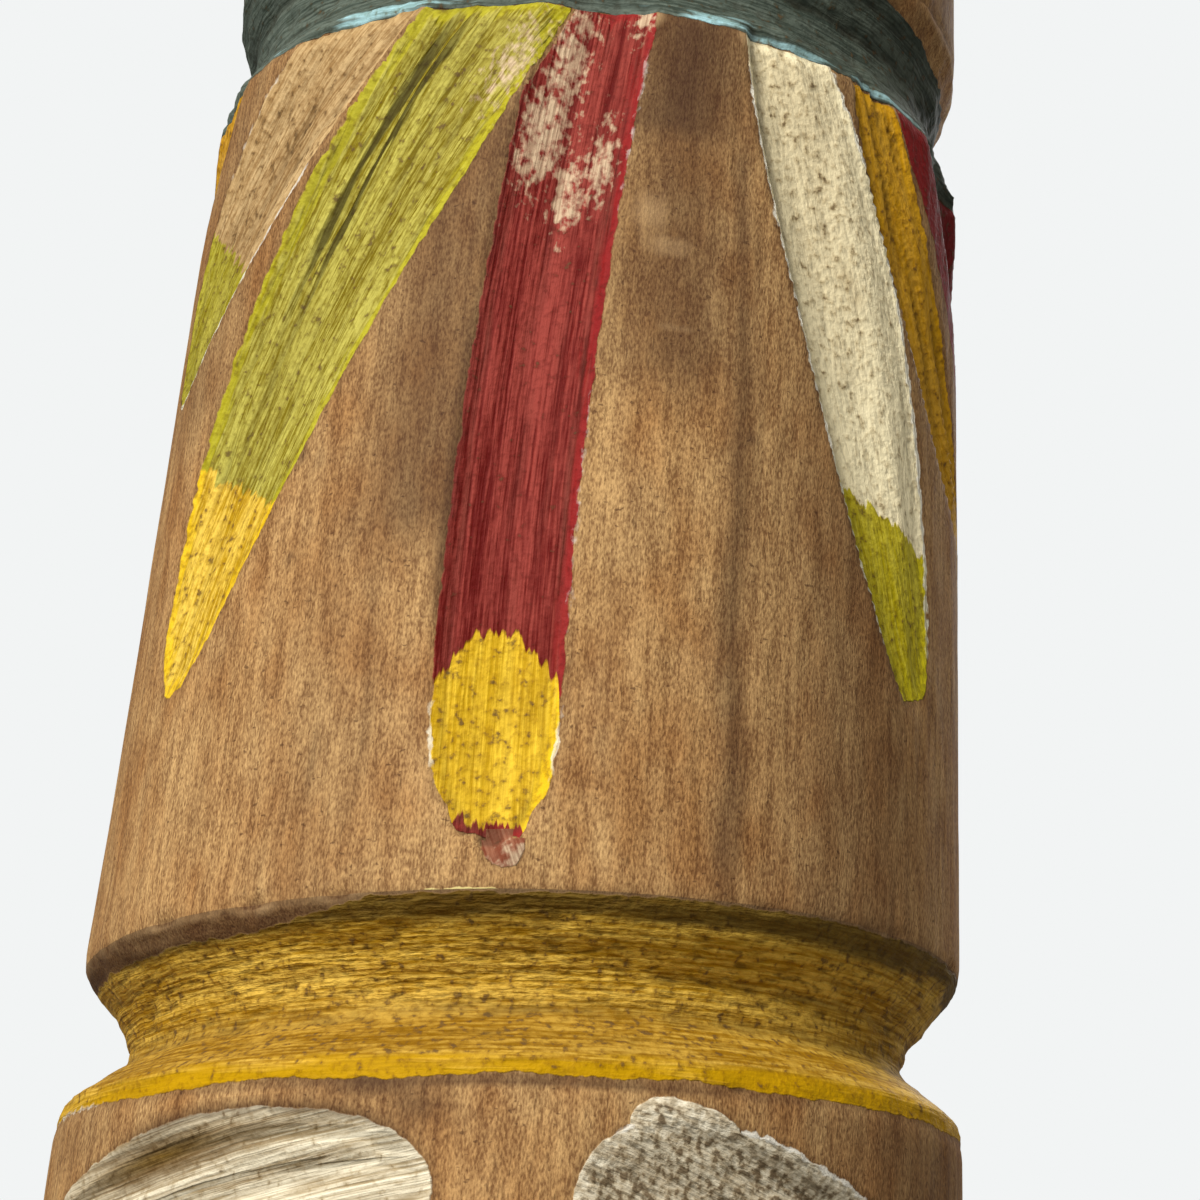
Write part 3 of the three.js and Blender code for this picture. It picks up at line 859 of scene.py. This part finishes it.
# %% Stains and scuffs
STREAKS = [
    (24, 1.3, -2, 66, 0.6), (15, 6.0, 36, 80, 0.62), (-17, 6.0, 22, 80, 0.62), (-12.5, 1.2, 16, 70, 0.65),
    (-42, 5.0, 38, 80, 0.3), (-60, 8.0, 36, 80, 0.35), (44, 10.0, -8, 80, 0.42), (-26, 6.0, -8, 60, 0.2),
    (-21.5, 1.0, 0, 40, 0.3), (37, 2.2, 0, 40, 0.2), (-44, 1.6, 0, 24, 0.15), (9, 0.9, 4, 40, 0.15),
    (58, 14.0, -60, -8, 0.45), (13, 8.0, 56, 90, 0.85), (62, 14.0, 80, 112, 0.4), (26.6, 0.7, 20, 60, 0.4),
    (-27.4, 0.5, 2, 16, 0.5),
]
MARKS = [
    (25.1, 36.9, 0.7, 0.8, 0.8), (-34.7, 33.9, 0.7, 0.8, 0.7), (-31.8, 33.2, 0.6, 0.6, 0.6),
    (-34.5, 25.3, 0.5, 0.7, 0.6), (-26, 27.9, 0.5, 0.6, 0.5), (10.5, 46.8, 1.0, 0.8, 0.4),
    (-15, -14.0, 5.0, 1.2, 0.8), (-9.5, -15.5, 2.5, 1.6, 0.6), (9.5, 54, 1.6, 2.0, -0.9),
    (12, 51.3, 2.4, 1.0, -0.8), (20, 18.5, 3.0, 4.0, -0.35), (14, 44.6, 2.0, 0.3, -0.7),
    (-60, -17.0, 7.0, 3.0, 0.25),
]
STREAK_FADE, STREAK_WANDER = 6, 0.5

stain_and_shade = np.zeros_like(height)
scuff = np.zeros_like(height)
above_lip = height - LIP
for streak_angle, half_width, low, high, strength in STREAKS:
    off = around_from(streak_angle, PLUMAGE) + STREAK_WANDER * wander
    ends = between(above_lip, low, high, STREAK_FADE, STREAK_FADE)
    stain_and_shade = np.maximum(stain_and_shade, strength * np.exp(-(off / half_width) ** 2) * ends)
for mark_angle, mark_height, half_width, half_height, strength in MARKS:
    off = around_from(mark_angle, PLUMAGE)
    spot = np.exp(-(off / half_width) ** 2 - ((above_lip - mark_height) / half_height) ** 2)
    stain_and_shade = np.maximum(stain_and_shade, strength * spot)
    scuff = np.maximum(scuff, -strength * spot)
print("streaks and marks:", len(STREAKS), len(MARKS))

# %% Painted shade and stains at edges, and hollows
LIP_SHADE, LIP_SHADE_WANDER, LIP_SHADE_FADE = 2.1, 0.2, 0.5
RIM_SHADE_BELOW, RIM_SHADE_WIDTH = 0.3, 0.4
LIP_SHADE_AND_STAIN, RIM_SHADOW_AND_STAIN, LIP_SHADE_AND_GRIME = 0.65, 0.85, 0.8
BLUR_SIZE = 2
POLISHED_WIDTH = 1.5
FACE_HOLLOW_SHADE_AND_DIRT = 0.1
SCUFF_HEIGHT = 0.2
SOFT_FIELDS = ("stain_and_shade", "hollow", "lip_shade_and_grime")


def blurred(field, size):
    """Means over a square of the grid, wrapped round the pole."""
    total = np.zeros_like(field)
    padded = np.pad(field, ((size, size), (0, 0)), mode="edge")
    for shift in range(2 * size + 1):
        for slide in range(-size, size + 1):
            total += np.roll(padded[shift:shift + row_count], slide, axis=1)
    return total / (2 * size + 1) ** 2


# The band under the lip is painted dark: painted shade of the downward-facing underside, with some grime.
up_shade = level - LIP + LIP_SHADE + LIP_SHADE_WANDER * wander
under_lip = np.clip(up_shade / LIP_SHADE_FADE, 0, 1) * (level < LIP - LIP_ROW / 2)
# A thin dark line under the clean yellow band: a painted shadow of the paint's edge, with some dirt,
# strongest at the front.
under_rim = np.exp(-((level - FACE["top"] + RIM_SHADE_BELOW) / RIM_SHADE_WIDTH) ** 2)
under_rim *= np.clip(1.4 - 1.6 * np.abs(to_right), 0.3, 1)
stain_and_shade = np.max([stain_and_shade, RIM_SHADOW_AND_STAIN * under_rim, LIP_SHADE_AND_STAIN * under_lip], axis=0)
# The hollow depth later darkens wood and paint: dirt, with painted shade in the recesses.
hollow = blurred(radius, BLUR_SIZE) - radius
on_face = (level < FACE["top"]) | (level > HEAD["bottom"])
hollow = np.where(on_face, np.minimum(hollow, FACE_HOLLOW_SHADE_AND_DIRT), hollow)
turned_edge = np.max([np.exp(-((level - edge) / POLISHED_WIDTH) ** 2) for edge in EDGES], axis=0)
hollow = np.where(hollow < 0, hollow * turned_edge, hollow) - SCUFF_HEIGHT * scuff
soft_values = [on_points(field) for field in (stain_and_shade, hollow, LIP_SHADE_AND_GRIME * under_lip)]
store("soft", np.stack(soft_values, axis=-1), domain="POINT")
print("deepest hollow, mm:", hollow.max().round(2))

# %% [markdown]
# ## Stained hardwood under brushed paint
# The wood is a close-grained hardwood, stained brown and rubbed: short pale flecks along the grain, fine
# dark pores and soft bands, darker in hollows with dirt and painted shade, and paler where hands have
# polished its edges. Photographs of wood and paint could be laid on, but noise that is stretched along grain
# or brush has no seams. Each pattern has the real size of its marks in millimetres and its detail. The looks
# are worked out in small named steps, each one node, and colours are laid over each other by the shares that
# the steps give.

# %% Patterns and values
finish = bpy.data.materials.new("brush_painted_stained_hardwood")
finish.use_nodes = True
tree = finish.node_tree
tree.nodes.clear()
place = add_node(tree, "TexCoord", output="Object")
wood_mm = add_node(tree, "VectorMath", [place, (1 / MM, 1 / MM, 1 / MM)], operation="MULTIPLY")
brush_mm = add_node(tree, "Attribute", output="Vector", attribute_name="brush")
PATTERNS = {
    "bands": (wood_mm, (5, 5, 120), 3),
    "patches": (wood_mm, (4, 4, 7), 5),
    "fibres": (wood_mm, (0.6, 0.6, 5), 3),
    "flecks": (wood_mm, (0.15, 0.15, 0.4), 2),
    "pores": (wood_mm, (0.2, 0.2, 1.6), 2),
    "grit": (wood_mm, (0.6, 0.6, 0.6), 4),
    "nicks": (wood_mm, (0.6, 0.6, 0.4), 1),
    "lumps": (wood_mm, (0.8, 0.8, 1.0), 4),
    "ragged": (wood_mm, (1.3, 1.3, 1.5), 4),
    "wrinkles": (brush_mm, (1.5, 0.4, 1), 3),
    "bristles": (brush_mm, (6, 0.24, 1), 3),
    "dry": (brush_mm, (1.2, 0.24, 1), 3),
    "fingers": (brush_mm, (7, 0.8, 1), 2),
    "strokes": (brush_mm, (20, 1.6, 1), 3),
    "rubbing": (wood_mm, (0.6, 0.6, 0.9), 5),
}
value = {}
for name, (space, size, detail) in PATTERNS.items():
    scaled = add_node(tree, "VectorMath", [space, size], operation="DIVIDE")
    value[name] = add_node(tree, "TexNoise", {"Vector": scaled, "Scale": 1.0, "Detail": detail})
for name, fields in {**ATTRIBUTES, "soft": SOFT_FIELDS}.items():
    vector = add_node(tree, "Attribute", output="Vector", attribute_name=name)
    for part, field in enumerate(fields):
        value[field] = add_node(tree, "SeparateXYZ", [vector], part)
for name in ("coat", "tip_coat"):
    value[name] = add_node(tree, "Attribute", output="Color", attribute_name=name)
print("named values:", len(value))

# %% Steps and layers


def given(item):
    """A step's input: a hex colour is made linear, another word names a value, anything else is itself."""
    if isinstance(item, str):
        return linear(item) if item.startswith("#") else value[item]
    return item


def add_steps(steps):
    """Adds one node for each step, an operation and its inputs, and names what it gives."""
    for name, (operation, *items) in steps.items():
        inputs = [given(item) for item in items]
        if operation == "RANGE":
            value[name] = add_node(tree, "MapRange", inputs)
        elif operation == "MIX":
            value[name] = add_node(tree, "Mix", dict(zip((0, 2, 3), inputs)))
        else:
            value[name] = add_node(tree, "Math", inputs, operation=operation)


def add_layers(name, base, *layers):
    """Lays colours over a base, each by its share and perhaps a way of mixing, and names what they give."""
    value[name] = given(base)
    for share, colour, *way in layers:
        inputs = {0: given(share), 6: value[name], 7: given(colour)}
        blend_type = way[0] if way else "MIX"
        value[name] = add_node(tree, "Mix", inputs, 2, data_type="RGBA", blend_type=blend_type)


print("nodes so far:", len(tree.nodes))

# %% Wood colour
add_steps({
    "wood_tone": ("MULTIPLY_ADD", "fibres", 0.6, "flecks"),
    "toned": ("RANGE", "wood_tone", 0.60, 1.02),
    "patchy": ("RANGE", "patches", 0.40, 0.66, 0, 0.55),
    "banded": ("RANGE", "bands", 0.45, 0.7, 0, 0.4),
    "pored": ("RANGE", "pores", 0.63, 0.74, 0, 0.6),
    "nicked": ("RANGE", "nicks", 0.70, 0.76, 0, 0.6),
    # Wood and paint in hollows are darkened with dirt and painted shade.
    "hollow_shade_and_dirt": ("RANGE", "hollow", 0.03, 0.22, 0, 0.75),
    "polished": ("RANGE", "hollow", -0.04, -0.2, 0, 0.5),
})
add_layers(
    "wood_colour", "#845F3A",
    ("toned", "#D2A86F"),
    ("patchy", "#CFAE8C", "MULTIPLY"),
    ("banded", "#CDB292", "MULTIPLY"),
    ("pored", "#57391F"),
    ("nicked", "#4A2E1C"),
    ("stain_and_shade", "#3F281D"),
    ("hollow_shade_and_dirt", "#3C2A1B"),
    ("polished", "#D3AE7C"),
)
print("nodes so far:", len(tree.nodes))

# %% [markdown]
# ## Brushed paint
# The paint is a dull oil paint. A hand-brushed coat isn't even: bristles leave streaks, its border is fuller
# and brighter, dirt sits in its grain as specks, and knife lines in it are darkened as painted shade. The
# distances are moved to and fro by noise first, in millimetres, which makes every edge ragged.

# %% Edges and streaks
NOISE_LOW, NOISE_HIGH = 0.3, 0.7
RAGGED, SHARP = 0.15, 0.05
FINGER_LENGTH = 0.9
RIM_WANDER, RIM_OUTER, RIM_INNER = 0.8, 0.5, 1.1

add_steps({
    "edge_shift": ("RANGE", "ragged", NOISE_LOW, NOISE_HIGH, -RAGGED, RAGGED),
    "ragged_inside": ("ADD", "inside", "edge_shift"),
    "painted": ("RANGE", "ragged_inside", -SHARP, SHARP),
    "finger": ("RANGE", "fingers", 0.25, 0.75, -FINGER_LENGTH, FINGER_LENGTH),
    "second_shift": ("ADD", "second", "finger"),
    "blend_start": ("MULTIPLY", "blend", -1.0),
    "tipped": ("RANGE", "second_shift", "blend_start", "blend"),
    "rim_shift": ("RANGE", "fingers", NOISE_LOW, NOISE_HIGH, -RIM_WANDER, RIM_WANDER),
    "rim_inside": ("ADD", "ragged_inside", "rim_shift"),
    "rim_near": ("RANGE", "rim_inside", RIM_INNER, RIM_OUTER),
    "rim_share": ("MULTIPLY", "rim_near", "rim"),
    "not_rim": ("SUBTRACT", 1.0, "rim_share"),
    "dry_part": ("MULTIPLY_ADD", "dry", 0.7, "bristles"),
    "streak_sum": ("MULTIPLY_ADD", "strokes", 0.8, "dry_part"),
    "streak_tone": ("RANGE", "streak_sum", 1.06, 1.40),
    "streakiness": ("MIX", "tipped", "streak", "tip_streak"),
    "streaked": ("MULTIPLY", "streakiness", "not_rim"),
    "paled": ("MIX", "tipped", "pale", "tip_pale"),
})
print("nodes so far:", len(tree.nodes))

# %% Specks, soil and knife lines
GROOVE_WANDER = 0.3
FIRST_WIDTH, SECOND_WIDTH = 0.6, 0.35

add_steps({
    "coat_specks": ("MIX", "tipped", "specks", "tip_specks"),
    "speckiness": ("ADD", "coat_specks", "soil"),
    "grit_level": ("MULTIPLY_ADD", "lumps", 0.3, "grit"),
    "speck_level": ("MULTIPLY_ADD", "speckiness", 0.09, "grit_level"),
    "lumpy": ("RANGE", "speck_level", 0.61, 0.81, 0, 0.55),
    "speck_dark": ("RANGE", "speck_level", 0.76, 0.87, 0, 0.75),
    "specked": ("MULTIPLY", "speck_dark", "not_rim"),
    "soiled": ("MULTIPLY", "soil", "not_rim"),
    "crack_level": ("RANGE", "wrinkles", 0.45, 0.36, 0, 0.55),
    "cracked": ("MULTIPLY", "crack_level", "wrinkle"),
    "paint_hollow_shade_and_dirt": ("MULTIPLY", "hollow_shade_and_dirt", 0.5),
    "groove_shift": ("RANGE", "fingers", NOISE_LOW, NOISE_HIGH, -GROOVE_WANDER, GROOVE_WANDER),
    "first_moved": ("ADD", "first_line", "groove_shift"),
    "first_away": ("ABSOLUTE", "first_moved"),
    "first_near": ("RANGE", "first_away", FIRST_WIDTH, FIRST_WIDTH / 2),
    "second_moved": ("ADD", "second_line", "groove_shift"),
    "second_away": ("ABSOLUTE", "second_moved"),
    "second_near": ("RANGE", "second_away", SECOND_WIDTH, SECOND_WIDTH / 2),
    "groove_near": ("MAXIMUM", "first_near", "second_near"),
    "groove_reach": ("MULTIPLY", "line_ends", "groove_strength"),
    "grooved": ("MULTIPLY", "groove_near", "groove_reach"),
    # Knife lines are darkened as painted shade.
    "groove_shade": ("MULTIPLY", "grooved", 0.85),
})
print("nodes so far:", len(tree.nodes))

# %% Paint colour
add_steps({
    "rub_level": ("ADD", "rubbing", "worn"),
    "rubbed": ("RANGE", "rub_level", 0.76, 0.96, 0, 0.9),
})
add_layers("clean_coat", "coat", ("tipped", "tip_coat"))
add_layers("dark_coat", "clean_coat", (1.0, "#A08C68", "MULTIPLY"))
add_layers("pale_coat", "clean_coat", ("paled", "#F0E2B4"))
add_layers("white_coat", "clean_coat", (0.75, "#ECE8DC"))
add_layers("streaked_coat", "dark_coat", ("streak_tone", "pale_coat"))
add_layers("bare_colour", "#A5866A", ("streak_tone", "#D6BC98"), ("pored", "#7A5A40"))
add_layers(
    "paint_colour", "clean_coat",
    ("streaked", "streaked_coat"),
    ("lumpy", "dark_coat"),
    ("soiled", "#8C7038", "MULTIPLY"),
    ("specked", "#5E472C"),
    ("cracked", "#3E2C0E"),
    ("paint_hollow_shade_and_dirt", "#33281A"),
    ("groove_shade", "#32290B"),
    # Painted shade under the lip, with some grime.
    ("lip_shade_and_grime", "#4A3614"),
    ("rubbed", "bare_colour"),
)
print("nodes so far:", len(tree.nodes))

# %% [markdown]
# ## Where paint meets wood
# The paint ends in a thin line that is chipped pale in places and darkened in others by painted shade of the
# carved wall, with some dirt, and the wood beside it is darkened by dirt and painted shade. All of it
# follows the distance in from the edge, in millimetres.

# %% Edges of the paint
SOIL_AND_SHADE_REACH = 0.7
LINE_THIN, LINE_THICK, LINE_SOFT = 0.06, 0.32, 0.12
SHADE_SMUDGE_OUT, SHADE_SMUDGE_IN = 1.2, 0.6

add_steps({
    # Dirt and painted shade darken the wood just outside the paint, where the carved wall meets it.
    "soil_near": ("RANGE", "inside", -SOIL_AND_SHADE_REACH, -SHARP, 0, 0.25),
    "line_away": ("ABSOLUTE", "ragged_inside"),
    "line_width": ("RANGE", "lumps", 0.35, 0.65, LINE_THIN, LINE_THICK),
    "line_left": ("SUBTRACT", "line_width", "line_away"),
    "line_near": ("RANGE", "line_left", 0.0, LINE_SOFT, 0, 0.85),
    "line_level": ("ADD", "rubbing", "line"),
    "line_tone": ("RANGE", "line_level", 0.75, 1.1),
    "lined": ("MULTIPLY", "line_near", "line_tone"),
    # Dark edge lines are painted shade on carved walls, with some dirt.
    "shade_smudge_out": ("RANGE", "ragged_inside", -SHADE_SMUDGE_OUT, -0.1),
    "shade_smudge_in": ("RANGE", "ragged_inside", SHADE_SMUDGE_IN, 0.0),
    "shade_smudge_near": ("MULTIPLY", "shade_smudge_out", "shade_smudge_in"),
    "shade_smudge_tone": ("RANGE", "line", 0, -1, 0, 0.85),
    "shade_smudged": ("MULTIPLY", "shade_smudge_near", "shade_smudge_tone"),
})
add_layers(
    "final_colour", "wood_colour",
    ("soil_near", "#4B331F"),
    ("painted", "paint_colour"),
    ("shade_smudged", "#2E1A16"),
    ("lined", "white_coat"),
)
print("nodes so far:", len(tree.nodes))

# %% [markdown]
# ## Surface
# Old paint and rubbed wood are both dull. Their finest marks are finer than the mesh, so a bump gives them.

# %% Finish
WRINKLE_HEIGHT, GROOVE_BUMP, WOOD_BUMP = 2.5, -1.5, 0.5
BUMP = {"Strength": 0.6, "Distance": 0.25 * MM}
WOOD_ROUGHNESS, PAINT_ROUGHNESS, SHINE = 0.7, 0.65, 0.08

add_steps({
    "streak_body": ("MULTIPLY", "streak_sum", "streaked"),
    "paint_body": ("ADD", "streak_body", "grit"),
    "wrinkle_rise": ("MULTIPLY", "wrinkle", WRINKLE_HEIGHT),
    "wrinkled_body": ("MULTIPLY_ADD", "wrinkle_rise", "wrinkles", "paint_body"),
    "cut_body": ("MULTIPLY_ADD", "grooved", GROOVE_BUMP, "wrinkled_body"),
    "wood_body": ("MULTIPLY", "wood_tone", WOOD_BUMP),
    "grain": ("MIX", "painted", "wood_body", "cut_body"),
    "roughness": ("RANGE", "painted", 0, 1, WOOD_ROUGHNESS, PAINT_ROUGHNESS),
})
bump = add_node(tree, "Bump", {**BUMP, "Height": value["grain"]})
looks = {"Base Color": value["final_colour"], "Roughness": value["roughness"], "Normal": bump}
shader = add_node(tree, "BsdfPrincipled", {**looks, "Specular IOR Level": SHINE})
add_node(tree, "OutputMaterial", {"Surface": shader})
print("nodes:", len(tree.nodes))

# %% [markdown]
# ## Hand over
# The skin stands for the carved solid, keeps to its form and box, and stands on the floor with it.

# %% Piece
pole = bpy.data.objects.new("totem_pole_skin", skin)
bpy.context.collection.objects.link(pole)
skin.materials.append(finish)
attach(pole, "root")
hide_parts("totem_pole")
